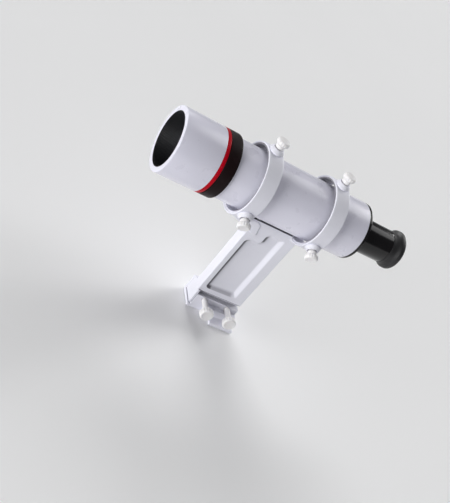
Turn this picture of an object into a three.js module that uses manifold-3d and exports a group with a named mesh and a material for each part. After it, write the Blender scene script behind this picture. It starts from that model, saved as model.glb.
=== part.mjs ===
// An 8 x 50 finder scope on its bracket and shoe, in millimetres, +Z up.
// The objective looks along -Y, the eyepiece points along +Y and the shoe lies flat on Z = 0.
// The origin is on the shoe's underside, halfway along the bracket's stalk and in its middle plane.

import * as THREE from 'three';
import { mergeVertices } from 'three/addons/utils/BufferGeometryUtils.js';
import Module from 'manifold-3d';

const wasm = await Module();
wasm.setup();

// ---- Driving dimensions ----

const GAP = 0.3; // clearance left between touching pieces
const AXIS_HEIGHT = 150.5; // optical axis above the shoe's underside
const FRONT_Y = -138.6; // front rim of the dew shield
const SMOOTH = 40; // facets round the large rings
const MEDIUM = 32; // facets round the eyepiece
const SMALL = 24; // facets round the small rings

// Stations along the optical axis, measured back from the dew shield's front rim.
const STATION = {
  shieldStep: 21.0,
  shieldEnd: 40.4,
  accentEnd: 44.1,
  lockEnd: 56.2,
  tubeEnd: 203.7,
  capEnd: 205.8,
  barrelEnd: 248.5,
  cupEnd: 258.9,
};

const SHIELD = { outer: 31.0, bore: 25.75, rearBore: 29.6, bevel: 0.8 };
const NOSE = { outer: 28.0, bore: 25.2, front: 34.3, spigotEnd: 68.0 };
const TUBE = { outer: 28.5, inner: 26.9, bevel: 0.6 };
const CAP = { wall: 2.0, depth: 8.0, bevel: 0.4 };
const BAFFLE = { wall: 1.0, web: 1.0, depth: 6.0 };
const BARREL = {
  outer: 16.57, bore: 13.2, spigot: 14.3, spigotBore: 12.0, spigotFront: 198.0, shoulder: 208.0,
};
const BARREL_NECK = { radius: 14.9, from: 244.5 };
const CUP = {
  sleeveEnd: 248.0, waist: 16.9, waistStation: 250.0, flare: 17.9, flareStation: 252.2,
  lip: 19.6, lipStation: 253.8, roll: 2.0, rollStation: 256.9,
  mouth: 16.0, dish: 11.5, dishStation: 251.9, opening: 10.5, openingStation: 250.9,
};

// The objective's seat in its cell, and the glass and spacers that sit on it.
const SEAT = { radius: 25.6, front: 22.6, rear: 34.0, lip: 24.6, lipFront: 21.3 };
const LENS_RADIUS = SEAT.radius - GAP;
const EYE_RADIUS = BARREL.bore - GAP;

// Each lens: its edge's front and rear stations, and how far its two faces bulge outwards.
const LENSES = {
  objective_crown_lens: { radius: LENS_RADIUS, front: 22.9, rear: 25.2, bulges: [2.9, 4.0] },
  objective_flint_lens: { radius: LENS_RADIUS, front: 26.4, rear: 32.0, bulges: [-3.8, 0.6] },
  field_lens: { radius: EYE_RADIUS, front: 221.3, rear: 223.6, bulges: [2.2, 0.3] },
  eye_lens_flint: { radius: EYE_RADIUS, front: 234.3, rear: 236.3, bulges: [0.2, -1.9] },
  eye_lens_crown: { radius: EYE_RADIUS, front: 236.6, rear: 239.6, bulges: [1.8, 2.2] },
};
const SPACERS = {
  objective_lens_spacer: { outer: LENS_RADIUS, inner: 24.4, front: 25.5, rear: 26.1 },
  objective_retaining_ring: { outer: LENS_RADIUS, inner: 23.9, front: 32.3, rear: 33.8 },
  reticle_cell: { outer: EYE_RADIUS, inner: 10.0, front: 208.3, rear: 212.0 },
  reticle_spacer: { outer: EYE_RADIUS, inner: 12.1, front: 213.5, rear: 221.0 },
  eyepiece_spacer: { outer: EYE_RADIUS, inner: 11.4, front: 223.9, rear: 234.0 },
};
const BAFFLES = {
  front_baffle: { station: 95.0, opening: 20.5 },
  rear_baffle: { station: 150.0, opening: 15.5 },
};
const RETAINER = { inner: 12.1, front: 239.9, stop: 9.5, web: 245.3, rear: 246.5 };
const WIRES = { reticle_wire_across: 212.45, reticle_wire_upright: 213.05 }; // stations
const WIRE = { half: 0.15, inset: 0.6 };

const RING = { outer: 35.5, inner: 32.2, width: 15.4, front: -50.3, rear: 25.3, bevel: 0.6 };
const BOSS = { radius: 6.6, top: 37.6 };
const SCREW = { thread: 3.0, tip: TUBE.outer + GAP, neck: 39.5, knob: 41.5, end: 48.5, head: 6.3 };
const FLUTES = { count: 12, depth: 0.5, bevel: 0.6 };
const SCREW_ANGLES = { top: 90, left: -30, right: 210 }; // degrees from +X towards +Z

const STALK = { halfThick: 7.2, halfLong: 25.4, bottom: 21.5, top: 120.2 };
const ARM = { front: RING.front + 1, under: 111.5, root: 106.5, overlap: 5.0 };
const CHEEK = { proud: 1.4, front: -30.0, nose: 109.0, top: 118.5, heel: -20.0, bottom: 105.0, rear: -15.5 };
const POCKET = {
  depth: 2.8, slope: 4.6, corner: 6.5, inner: 3.0,
  front: -20.4, step: -5.4, rear: 15.7, bottom: 27.2, low: 98.6, high: 112.4,
};

const SHOE = { far: -15.8, near: 9.0, floor: 3.7, farTop: 20.0, nearTop: 17.6, rear: 26.0 };
const SHOE_STEP = { side: 14.8, front: -8.2, top: 11.3 };
const SHOE_FLANGE = { side: 26.0, front: -1.2, top: 3.2 };
const SHOE_HORN = 3.0; // thickness of the far wall where it runs on past the channel
const DOVETAIL = { top: 17.3, bottom: 5.3, nearTop: 2.5, nearBottom: 4.5, farTop: -7.2, farBottom: -9.2 };
const STOP_DEPTH = 2.8; // thickness of the foot's front plate
const CLAMP = { thread: 2.4, tip: 3.9, neck: 22.4, knob: 25.4, end: 31.8, head: 6.4 };
const CLAMP_PLACES = { z: 14.3, front: -12.5, rear: 13.9 };

// ---- Materials ----

const paint = (color, roughness, metalness = 0) =>
  new THREE.MeshStandardMaterial({ color, roughness, metalness });

const WHITE_PAINT = paint(0xdcdce6, 0.35);
const RED = paint(0xb40a24, 0.35);
const BLACK_ANODISED = paint(0x1b191c, 0.45, 0.4);
const GLOSS_BLACK = paint(0x0c0b0d, 0.15);
const RUBBER = paint(0x1a1a1c, 0.75);
const NYLON = paint(0xd9d8d0, 0.45);
const BRASS = paint(0xb08d4a, 0.35, 0.9);
const GLASS = new THREE.MeshStandardMaterial({
  color: 0x9fb3c8, roughness: 0.05, transparent: true, opacity: 0.4,
});
const STEEL_WIRE = paint(0x303030, 0.5, 0.8);

// ---- Solids ----

const axisY = (station) => FRONT_Y + station;

// A plain closed mesh: merged corners, no sliver faces, faces outward.
function closed(geometry) {
  const bare = new THREE.BufferGeometry();
  const source = geometry.index ? geometry.toNonIndexed() : geometry;
  bare.setAttribute('position', source.getAttribute('position').clone());
  const merged = mergeVertices(bare, 1e-4);
  const position = merged.getAttribute('position');
  const [a, b, c] = [new THREE.Vector3(), new THREE.Vector3(), new THREE.Vector3()];
  const index = [];
  let volume = 0;
  for (let i = 0; i < merged.index.count; i += 3) {
    const [p, q, r] = [0, 1, 2].map((k) => merged.index.getX(i + k));
    if (p === q || q === r || r === p) continue;
    index.push(p, q, r);
    a.fromBufferAttribute(position, p);
    b.fromBufferAttribute(position, q);
    c.fromBufferAttribute(position, r);
    volume += a.dot(b.cross(c));
  }
  if (volume < 0) index.reverse();
  merged.setIndex(index);
  return merged;
}

const toSolid = (geometry) => {
  const mesh = closed(geometry);
  return new wasm.Manifold(new wasm.Mesh({
    numProp: 3,
    vertProperties: new Float32Array(mesh.getAttribute('position').array),
    triVerts: new Uint32Array(mesh.index.array),
  }));
};

const toGeometry = (solid) => {
  const mesh = solid.getMesh();
  const geometry = new THREE.BufferGeometry();
  geometry.setAttribute('position', new THREE.BufferAttribute(mesh.vertProperties, 3));
  geometry.setIndex(new THREE.BufferAttribute(mesh.triVerts, 1));
  geometry.computeVertexNormals();
  return geometry;
};

// A ring turned about the optical axis from a closed outline of [radius, station] points.
function turned(outline, segments = SMOOTH) {
  const points = outline.map(([r, s]) => new THREE.Vector2(r, axisY(s)));
  const onAxis = outline[0][0] === 0 && outline.at(-1)[0] === 0;
  if (!onAxis) points.push(points[0].clone());
  return closed(new THREE.LatheGeometry(points, segments));
}

// Points of an arc from one angle to another, in degrees, about [r, s].
function arc([r, s], radius, from, to, steps) {
  const points = [];
  for (let i = 0; i <= steps; i += 1) {
    const turn = THREE.MathUtils.degToRad(from + ((to - from) * i) / steps);
    points.push([r + radius * Math.cos(turn), s + radius * Math.sin(turn)]);
  }
  return points;
}

function box([x0, x1], [y0, y1], [z0, z1]) {
  const geometry = new THREE.BoxGeometry(x1 - x0, y1 - y0, z1 - z0);
  return geometry.translate((x0 + x1) / 2, (y0 + y1) / 2, (z0 + z1) / 2);
}

// A bar with an [x, z] outline, running along Y.
function barAlongY(outline, y0, y1) {
  const shape = new THREE.Shape(outline.map(([x, z]) => new THREE.Vector2(x, z)));
  const geometry = new THREE.ExtrudeGeometry(shape, { depth: y1 - y0, bevelEnabled: false });
  return geometry.rotateX(Math.PI / 2).translate(0, y1, 0);
}

// A round bar that stands out from the optical axis at an angle, between two radii.
function radialCylinder(radius, from, to, degrees, y, segments = SMALL) {
  const geometry = new THREE.CylinderGeometry(radius, radius, to - from, segments);
  geometry.rotateX(Math.PI / 2).translate(0, 0, (from + to) / 2);
  geometry.rotateY(THREE.MathUtils.degToRad(90 - degrees));
  return geometry.translate(0, y, AXIS_HEIGHT);
}

// ---- Objective head ----

const dewShield = () => turned([
  [SHIELD.bore, 0.5],
  [SHIELD.bore + 0.5, 0],
  [SHIELD.outer - SHIELD.bevel, 0],
  [SHIELD.outer, SHIELD.bevel],
  [SHIELD.outer, STATION.shieldEnd],
  [SHIELD.rearBore, STATION.shieldEnd],
  [SHIELD.rearBore, STATION.shieldStep],
  [SHIELD.bore, STATION.shieldStep],
]);

const accentRing = () => turned([
  [NOSE.outer + GAP, STATION.shieldEnd + GAP],
  [SHIELD.outer, STATION.shieldEnd + GAP],
  [SHIELD.outer, STATION.accentEnd],
  [NOSE.outer + GAP, STATION.accentEnd],
]);

const lockRing = () => turned([
  [NOSE.outer + GAP, STATION.accentEnd + GAP],
  [SHIELD.outer - 0.4, STATION.accentEnd + GAP],
  [SHIELD.outer, STATION.accentEnd + GAP + 0.4],
  [SHIELD.outer, STATION.lockEnd - 2.0],
  [SHIELD.outer - 1.0, STATION.lockEnd],
  [NOSE.outer + GAP, STATION.lockEnd],
]);

const objectiveCell = () => turned([
  [SEAT.lip, SEAT.lipFront],
  [SHIELD.rearBore - GAP, SEAT.lipFront],
  [SHIELD.rearBore - GAP, STATION.shieldEnd - GAP],
  [NOSE.outer + GAP, STATION.shieldEnd - GAP],
  [NOSE.outer + GAP, SEAT.rear],
  [SEAT.radius, SEAT.rear],
  [SEAT.radius, SEAT.front],
  [SEAT.lip, SEAT.front],
]);

// A lens between its front and rear edges. Each face bulges outwards by its own amount at the
// centre, or inwards where that is negative.
function lens({ radius, front, rear, bulges }, steps = 3) {
  const face = (edge, bulge, inward) => {
    const points = [];
    for (let i = 0; i <= steps; i += 1) {
      const part = inward ? i / steps : 1 - i / steps;
      points.push([radius * part, edge + bulge * (1 - part * part)]);
    }
    return points;
  };
  return turned([...face(front, -bulges[0], true), ...face(rear, bulges[1], false)], SMALL);
}

const spacer = ({ outer, inner, front, rear }) => turned([
  [inner, front], [outer, front], [outer, rear], [inner, rear],
], SMALL);

// ---- Tube ----

const tubeNose = () => turned([
  [NOSE.bore, NOSE.front],
  [NOSE.outer, NOSE.front],
  [NOSE.outer, STATION.lockEnd],
  [TUBE.inner - GAP, STATION.lockEnd],
  [TUBE.inner - GAP, NOSE.spigotEnd],
  [NOSE.bore, NOSE.spigotEnd],
]);

const mainTube = () => turned([
  [TUBE.inner, STATION.lockEnd + GAP],
  [TUBE.outer, STATION.lockEnd + GAP],
  [TUBE.outer, STATION.tubeEnd - TUBE.bevel],
  [TUBE.outer - TUBE.bevel / 2, STATION.tubeEnd],
  [TUBE.inner, STATION.tubeEnd],
]);

// A stop ring with a rim that grips the tube's wall and a web that narrows to the light path.
const baffle = ({ station, opening }) => turned([
  [opening, station],
  [TUBE.inner - GAP, station],
  [TUBE.inner - GAP, station + BAFFLE.depth],
  [TUBE.inner - GAP - BAFFLE.wall, station + BAFFLE.depth],
  [TUBE.inner - GAP - BAFFLE.wall, station + BAFFLE.web],
  [opening, station + BAFFLE.web],
]);

const rearCap = () => turned([
  [BARREL.spigot + GAP, STATION.tubeEnd + GAP],
  [TUBE.inner - GAP - CAP.wall, STATION.tubeEnd + GAP],
  [TUBE.inner - GAP - CAP.wall, STATION.tubeEnd - CAP.depth],
  [TUBE.inner - GAP, STATION.tubeEnd - CAP.depth],
  [TUBE.inner - GAP, STATION.tubeEnd + GAP],
  [TUBE.outer, STATION.tubeEnd + GAP],
  [TUBE.outer, STATION.capEnd - CAP.bevel],
  [TUBE.outer - CAP.bevel, STATION.capEnd],
  [BARREL.spigot + GAP, STATION.capEnd],
]);

// ---- Eyepiece ----

const eyepieceBarrel = () => turned([
  [BARREL.spigotBore, BARREL.spigotFront],
  [BARREL.spigot, BARREL.spigotFront],
  [BARREL.spigot, STATION.capEnd + GAP],
  [BARREL.outer, STATION.capEnd + GAP],
  [BARREL.outer, BARREL_NECK.from],
  [BARREL_NECK.radius, BARREL_NECK.from],
  [BARREL_NECK.radius, STATION.barrelEnd],
  [BARREL.bore, STATION.barrelEnd],
  [BARREL.bore, BARREL.shoulder],
  [BARREL.spigotBore, BARREL.shoulder],
], MEDIUM);

// The rubber cup: a sleeve over the barrel's neck, then a lip that flares out and rounds over.
const eyecup = () => turned([
  [BARREL_NECK.radius + GAP, BARREL_NECK.from + GAP],
  [BARREL.outer, BARREL_NECK.from + GAP],
  [BARREL.outer, CUP.sleeveEnd],
  [CUP.waist, CUP.waistStation],
  [CUP.flare, CUP.flareStation],
  [CUP.lip, CUP.lipStation],
  ...arc([CUP.lip - 1.9, CUP.rollStation], CUP.roll, -20, 100, 3),
  [CUP.mouth, STATION.cupEnd - 0.6],
  [CUP.dish, CUP.dishStation],
  [CUP.opening, CUP.openingStation],
  [CUP.opening, STATION.barrelEnd + GAP],
  [BARREL_NECK.radius + GAP, STATION.barrelEnd + GAP],
], MEDIUM);

// The threaded cup that holds the eye lens from behind and stops light round its rim.
const eyeLensRetainer = () => turned([
  [RETAINER.inner, RETAINER.front],
  [EYE_RADIUS, RETAINER.front],
  [EYE_RADIUS, RETAINER.rear],
  [RETAINER.stop, RETAINER.rear],
  [RETAINER.stop, RETAINER.web],
  [RETAINER.inner, RETAINER.web],
], SMALL);

// A square wire across the reticle cell, centred on the optical axis.
function reticleWire(crossways, station) {
  const long = EYE_RADIUS - WIRE.inset;
  const [x, z] = crossways ? [long, WIRE.half] : [WIRE.half, long];
  return box([-x, x], [-WIRE.half, WIRE.half], [-z, z]).translate(0, axisY(station), 0);
}

// ---- Thumb screws, along +Z from the optical axis or the shoe ----

// A round nylon head with shallow scallops round its rim.
function fluted(radius, height) {
  const { count, depth, bevel } = FLUTES;
  const points = [];
  for (let i = 0; i < 2 * count; i += 1) {
    const turn = (i / count) * Math.PI;
    const r = i % 2 ? radius - depth : radius;
    points.push(new THREE.Vector2(r * Math.cos(turn), r * Math.sin(turn)));
  }
  return new THREE.ExtrudeGeometry(new THREE.Shape(points), {
    depth: height - 2 * bevel, bevelEnabled: true, bevelSegments: 1,
    bevelThickness: bevel, bevelSize: bevel, bevelOffset: -bevel,
  }).translate(0, 0, bevel);
}

function thumbScrew({ thread, tip, neck, knob, end, head }) {
  const stem = new THREE.LatheGeometry([
    new THREE.Vector2(0, tip),
    new THREE.Vector2(thread - 0.5, tip),
    new THREE.Vector2(thread, tip + 0.5),
    new THREE.Vector2(thread, neck),
    new THREE.Vector2(head * 0.6, neck + 0.8),
    new THREE.Vector2(head * 0.7, knob + 0.5),
    new THREE.Vector2(0, knob + 0.5),
  ], 16).rotateX(Math.PI / 2);
  const grip = fluted(head, end - knob).translate(0, 0, knob);
  return toGeometry(toSolid(stem).add(toSolid(grip)));
}

// ---- Bracket casting ----

function ringBand(centre) {
  const [front, rear] = [centre - RING.width / 2, centre + RING.width / 2];
  return turned([
    [RING.inner - 1, front - FRONT_Y],
    [RING.outer - RING.bevel, front - FRONT_Y],
    [RING.outer, front - FRONT_Y + RING.bevel],
    [RING.outer, rear - FRONT_Y - RING.bevel],
    [RING.outer - RING.bevel, rear - FRONT_Y],
    [RING.inner - 1, rear - FRONT_Y],
  ]).translate(0, 0, AXIS_HEIGHT);
}

// The outline of the shallow panel pressed into each side of the stalk: it reaches higher behind.
function pocketShape() {
  const { front, step, rear, bottom, low, high, corner, inner } = POCKET;
  const quarter = Math.PI / 2;
  const shape = new THREE.Shape();
  shape.absarc(rear - corner, bottom + corner, corner, -quarter, 0, false);
  shape.absarc(rear - corner, high - corner, corner, 0, quarter, false);
  shape.absarc(step + corner, high - corner, corner, quarter, 2 * quarter, false);
  shape.absarc(step - inner, low + inner, inner, 0, -quarter, true);
  shape.absarc(front + corner, low - corner, corner, quarter, 2 * quarter, false);
  shape.absarc(front + corner, bottom + corner, corner, 2 * quarter, 3 * quarter, false);
  return shape;
}

// The pocket's cutter for one side of the stalk, wider at the surface than at its floor.
function pocketCutter(side) {
  const geometry = new THREE.ExtrudeGeometry(pocketShape(), {
    depth: 2, curveSegments: 4, bevelEnabled: true, bevelSegments: 1,
    bevelThickness: POCKET.depth, bevelSize: POCKET.slope, bevelOffset: -POCKET.slope,
  });
  // The outline's plane turns to YZ, and the narrow end of the bevel becomes the pocket's floor.
  geometry.rotateX(Math.PI / 2).rotateZ(Math.PI / 2);
  const floor = STALK.halfThick - POCKET.depth;
  geometry.translate(floor + POCKET.depth, 0, 0);
  if (side < 0) geometry.rotateZ(Math.PI).scale(1, -1, 1);
  return geometry;
}

function bracketFoot() {
  const { top, bottom, nearTop, nearBottom, farTop, farBottom } = DOVETAIL;
  const rail = barAlongY([
    [farTop, STALK.bottom + 1],
    [farTop, top],
    [farBottom, bottom],
    [nearBottom, bottom],
    [nearTop, top],
    [nearTop, STALK.bottom + 1],
  ], -STALK.halfLong, STALK.halfLong);
  const stop = box(
    [SHOE.far + SHOE_HORN + GAP, SHOE.near],
    [-STALK.halfLong, -STALK.halfLong + STOP_DEPTH],
    [bottom, STALK.bottom + 1],
  );
  return toSolid(rail).add(toSolid(stop));
}

// A plate with a [y, z] outline, centred on the middle plane.
function plateAcrossX(outline, halfThick) {
  const shape = new THREE.Shape(outline.map(([y, z]) => new THREE.Vector2(y, z)));
  const plate = new THREE.ExtrudeGeometry(shape, { depth: 2 * halfThick, bevelEnabled: false });
  return plate.translate(0, 0, -halfThick).rotateX(Math.PI / 2).rotateZ(Math.PI / 2);
}

// The arm that carries the front ring ahead of the stalk.
function ringArm() {
  const ringRear = RING.front + RING.width / 2;
  return plateAcrossX([
    [ARM.front, AXIS_HEIGHT - RING.inner - 1],
    [ARM.front, AXIS_HEIGHT - RING.outer],
    [ringRear, ARM.under],
    [-STALK.halfLong, ARM.root],
    [-STALK.halfLong + ARM.overlap, ARM.root],
    [-STALK.halfLong + ARM.overlap, STALK.top],
    [ringRear, STALK.top],
  ], STALK.halfThick);
}

// A low cheek on each side of the stalk's front corner, where the arm runs into it.
const armCheek = () => plateAcrossX([
  [CHEEK.front, CHEEK.top],
  [CHEEK.front, CHEEK.nose],
  [CHEEK.heel, CHEEK.bottom],
  [CHEEK.rear, CHEEK.bottom],
  [CHEEK.rear - 2.5, CHEEK.top - 2.5],
  [CHEEK.heel - 2, CHEEK.top],
], STALK.halfThick + CHEEK.proud);

function bracket() {
  const { halfThick, halfLong, bottom, top } = STALK;
  let solid = toSolid(box([-halfThick, halfThick], [-halfLong, halfLong], [bottom, top]));
  solid = solid.add(bracketFoot());
  solid = solid.add(toSolid(ringArm())).add(toSolid(armCheek()));
  for (const centre of [RING.front, RING.rear]) {
    solid = solid.add(toSolid(ringBand(centre)));
    for (const degrees of Object.values(SCREW_ANGLES)) {
      solid = solid.add(toSolid(radialCylinder(BOSS.radius, RING.inner + 1.2, BOSS.top, degrees, centre)));
    }
  }
  for (const centre of [RING.front, RING.rear]) {
    const bore = new THREE.CylinderGeometry(RING.inner, RING.inner, RING.width + 0.02, SMOOTH);
    solid = solid.subtract(toSolid(bore.translate(0, centre, AXIS_HEIGHT)));
    for (const degrees of Object.values(SCREW_ANGLES)) {
      const hole = radialCylinder(SCREW.thread + GAP, RING.inner - 3, BOSS.top + 1, degrees, centre, 20);
      solid = solid.subtract(toSolid(hole));
    }
  }
  for (const side of [1, -1]) solid = solid.subtract(toSolid(pocketCutter(side)));
  return toGeometry(solid);
}

// ---- Shoe ----

function shoe() {
  const stopRear = -STALK.halfLong + STOP_DEPTH + GAP;
  const { far, near, floor, farTop, nearTop, rear } = SHOE;
  const flank = (x0, x1, side) => [
    [x0 + side * GAP, DOVETAIL.top],
    [x1 + side * GAP + (side * (DOVETAIL.bottom - floor)) / 6, floor],
  ];
  const nearFlank = flank(DOVETAIL.nearTop, DOVETAIL.nearBottom, 1);
  const farFlank = flank(DOVETAIL.farTop, DOVETAIL.farBottom, -1);
  const channel = barAlongY([
    [far, 0],
    [near, 0],
    [near, nearTop],
    [nearFlank[0][0], nearTop],
    ...nearFlank,
    farFlank[1],
    farFlank[0],
    [farFlank[0][0], farTop],
    [far, farTop],
  ], stopRear, rear);
  const horn = far + SHOE_HORN;
  const frontEnd = barAlongY([
    [far, 0], [near, 0], [near, floor], [horn, floor], [horn, farTop], [far, farTop],
  ], -STALK.halfLong, stopRear + 1);
  let solid = toSolid(channel).add(toSolid(frontEnd));
  for (const { side, front, top } of [SHOE_STEP, SHOE_FLANGE]) {
    solid = solid.add(toSolid(box([near - 1, side], [front, rear], [0, top])));
  }
  for (const y of [CLAMP_PLACES.front, CLAMP_PLACES.rear]) {
    const hole = new THREE.CylinderGeometry(CLAMP.thread + GAP, CLAMP.thread + GAP, 14, 16);
    solid = solid.subtract(toSolid(hole.rotateZ(Math.PI / 2).translate(near, y, CLAMP_PLACES.z)));
  }
  return toGeometry(solid);
}

// ---- Assembly ----

const finder = new THREE.Group();
finder.name = 'finder_scope';

function place(parent, name, geometry, material) {
  const mesh = new THREE.Mesh(geometry, material);
  mesh.name = name;
  parent.add(mesh);
  return mesh;
}

place(finder, 'shoe', shoe(), WHITE_PAINT);
place(finder, 'bracket', bracket(), WHITE_PAINT);

for (const name of ['front', 'rear']) {
  const screw = place(finder, `clamp_screw_${name}`, thumbScrew(CLAMP), NYLON);
  screw.rotation.y = Math.PI / 2;
  screw.position.set(0, CLAMP_PLACES[name], CLAMP_PLACES.z);
}

for (const [ringName, centre] of [['front', RING.front], ['rear', RING.rear]]) {
  for (const [side, degrees] of Object.entries(SCREW_ANGLES)) {
    const screw = place(finder, `${ringName}_ring_screw_${side}`, thumbScrew(SCREW), NYLON);
    screw.rotation.y = THREE.MathUtils.degToRad(90 - degrees);
    screw.position.set(0, centre, AXIS_HEIGHT);
  }
}

// Everything on the optical axis is turned about Y and lifted to the axis height.
const optics = new THREE.Group();
optics.position.z = AXIS_HEIGHT;
finder.add(optics);

place(optics, 'dew_shield', dewShield(), WHITE_PAINT);
place(optics, 'accent_ring', accentRing(), RED);
place(optics, 'lock_ring', lockRing(), BLACK_ANODISED);
place(optics, 'objective_cell', objectiveCell(), BLACK_ANODISED);
place(optics, 'tube_nose', tubeNose(), BLACK_ANODISED);
place(optics, 'main_tube', mainTube(), WHITE_PAINT);
place(optics, 'rear_cap', rearCap(), GLOSS_BLACK);
place(optics, 'eyepiece_barrel', eyepieceBarrel(), GLOSS_BLACK);
place(optics, 'eye_lens_retainer', eyeLensRetainer(), BLACK_ANODISED);
place(optics, 'eyecup', eyecup(), RUBBER);

for (const [name, size] of Object.entries(LENSES)) place(optics, name, lens(size), GLASS);
for (const [name, size] of Object.entries(SPACERS)) {
  place(optics, name, spacer(size), name === 'reticle_cell' ? BRASS : BLACK_ANODISED);
}
for (const [name, size] of Object.entries(BAFFLES)) place(optics, name, baffle(size), BLACK_ANODISED);
for (const [name, station] of Object.entries(WIRES)) {
  place(optics, name, reticleWire(name.endsWith('across'), station), STEEL_WIRE);
}

export default finder;
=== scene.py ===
import math

import bmesh
import bpy
import numpy as np
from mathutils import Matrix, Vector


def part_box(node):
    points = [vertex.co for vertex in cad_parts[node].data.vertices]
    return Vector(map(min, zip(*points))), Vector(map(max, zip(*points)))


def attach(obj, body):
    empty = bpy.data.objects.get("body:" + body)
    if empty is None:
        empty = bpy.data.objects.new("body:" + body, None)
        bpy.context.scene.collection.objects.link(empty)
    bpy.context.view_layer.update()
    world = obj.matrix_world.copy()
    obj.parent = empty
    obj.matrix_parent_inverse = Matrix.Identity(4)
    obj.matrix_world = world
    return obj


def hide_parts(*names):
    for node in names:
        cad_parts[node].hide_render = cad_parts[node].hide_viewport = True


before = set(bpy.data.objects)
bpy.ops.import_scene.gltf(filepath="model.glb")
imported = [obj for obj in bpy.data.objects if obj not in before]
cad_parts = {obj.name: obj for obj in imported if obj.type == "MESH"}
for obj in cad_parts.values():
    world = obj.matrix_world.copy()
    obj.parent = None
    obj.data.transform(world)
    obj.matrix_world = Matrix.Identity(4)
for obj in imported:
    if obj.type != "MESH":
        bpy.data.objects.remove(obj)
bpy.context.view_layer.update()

import openvdb
from mathutils import Matrix, Vector

MM = 0.001
scene = bpy.context.scene

# ---- Places read from the frame, in millimetres ----


def span(node):
    """The lowest and highest corners of a CAD node."""
    low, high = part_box(node)
    return np.array(low) / MM, np.array(high) / MM


def middle(node):
    low, high = span(node)
    return (low + high) / 2


AXIS = middle("main_tube")[2]
FRONT = span("dew_shield")[0][1]
RINGS = {"front": middle("front_ring_screw_top")[1], "rear": middle("rear_ring_screw_top")[1]}
CLAMPS = {"front": middle("clamp_screw_front"), "rear": middle("clamp_screw_rear")}
SIDES = {"top": 90.0, "left": -30.0, "right": 210.0}  # degrees from +X towards +Z


def stations(node):
    """Where a node begins and ends along the optical axis, measured back from the front rim."""
    low, high = span(node)
    return low[1] - FRONT, high[1] - FRONT


def reach(node):
    """A turned node's outer radius."""
    low, high = span(node)
    return (high[0] - low[0]) / 2


# The stalk of the bracket and the pocket pressed into each of its sides. The first two are half sizes.
STALK_THICK, STALK_LONG = 7.2, 25.4
STALK_BOTTOM, STALK_TOP = 21.5, 120.2
POCKET_DEPTH = 3.1
POCKET = {"left": -20.4, "right": 15.7, "bottom": 27.2, "top": 112.4, "step_y": -5.4, "step_z": 98.6}
GAP_START, GAP_END = -42.0, 17.5  # the painted shade in the gap between the stalk's top and the tube, along Y
SEAM_START = -22.3  # the painted shade along the seam where the stalk meets its foot, along Y

# ---- Materials ----


class Finish:
    """A node material under construction. Its texture space is the part's own frame, in metres."""

    def __init__(self, name, **sockets):
        self.material = bpy.data.materials.new(name)
        self.material.use_nodes = True
        self.tree = self.material.node_tree
        self.shader = self.tree.nodes["Principled BSDF"]
        for socket, value in sockets.items():
            self.shader.inputs[socket.replace("_", " ")].default_value = value
        self.place = self.tree.nodes.new("ShaderNodeTexCoord").outputs["Object"]

    def plug(self, socket, value):
        """Links another node's output to a socket, or sets a plain value on it."""
        if isinstance(value, bpy.types.NodeSocket):
            self.tree.links.new(value, socket)
        else:
            socket.default_value = value

    def node(self, kind, **inputs):
        made = self.tree.nodes.new(kind)
        for key, value in inputs.items():
            self.plug(made.inputs[key.replace("_", " ")], value)
        return made

    def noise(self, scale, detail=2.0, stretch=(1, 1, 1), roughness=0.5):
        vector = self.place
        if stretch != (1, 1, 1):
            vector = self.node("ShaderNodeMapping", Vector=vector, Scale=stretch).outputs["Vector"]
        made = self.node(
            "ShaderNodeTexNoise", Vector=vector, Scale=scale, Detail=detail, Roughness=roughness
        )
        return made.outputs["Fac"]

    def ramp(self, value, low, high, bottom=0.0, top=1.0):
        made = self.node(
            "ShaderNodeMapRange",
            Value=value, From_Min=low, From_Max=high, To_Min=bottom, To_Max=top,
        )
        made.clamp = True
        return made.outputs["Result"]

    def math(self, operation, *values):
        made = self.tree.nodes.new("ShaderNodeMath")
        made.operation = operation
        for socket, value in zip(made.inputs, values):
            self.plug(socket, value)
        return made.outputs[0]

    def times(self, first, *others):
        for other in others:
            first = self.math("MULTIPLY", first, other)
        return first

    def below(self, value, limit, fade):
        """From 1 to 0 as a value in metres comes within fade of a limit, both in millimetres."""
        return self.ramp(value, (limit - fade) * MM, limit * MM, 1.0, 0.0)

    def mix(self, amount, first, second):
        made = self.tree.nodes.new("ShaderNodeMix")
        made.data_type = "RGBA"
        for socket, value in ((0, amount), (6, first), (7, second)):  # factor, A and B of a colour mix
            self.plug(made.inputs[socket], value)
        return made.outputs[2]

    def bump(self, height, strength, depth, under=None):
        made = self.node("ShaderNodeBump", Height=height, Strength=strength, Distance=depth)
        if under is not None:
            self.tree.links.new(under, made.inputs["Normal"])
        return made.outputs["Normal"]

    def set(self, socket, value):
        self.tree.links.new(value, self.shader.inputs[socket])

    def parts_of_place(self):
        """The X, Y and Z of a point in the part's frame, in metres."""
        split = self.node("ShaderNodeSeparateXYZ", Vector=self.place)
        return [split.outputs[axis] for axis in "XYZ"]

    def turning(self, pitch):
        """Fine turning marks: rings along the optical axis, pitch in metres."""
        along = self.parts_of_place()[1]
        turns = self.math("MULTIPLY_ADD", along, 2 * math.pi / pitch, self.noise(260.0, 1.0))
        return self.math("SINE", turns)


def rgb(r, g, b):
    return (r, g, b, 1.0)


# The dark colour of painted shade, laid by position where recesses, gaps and bores fall in shade.
PAINTED_SHADE = rgb(0.09, 0.085, 0.10)
LOWER_PAINTED_SHADE = 0.45  # painted shade on the pocket's lower wall is less dark than on the others


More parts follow.
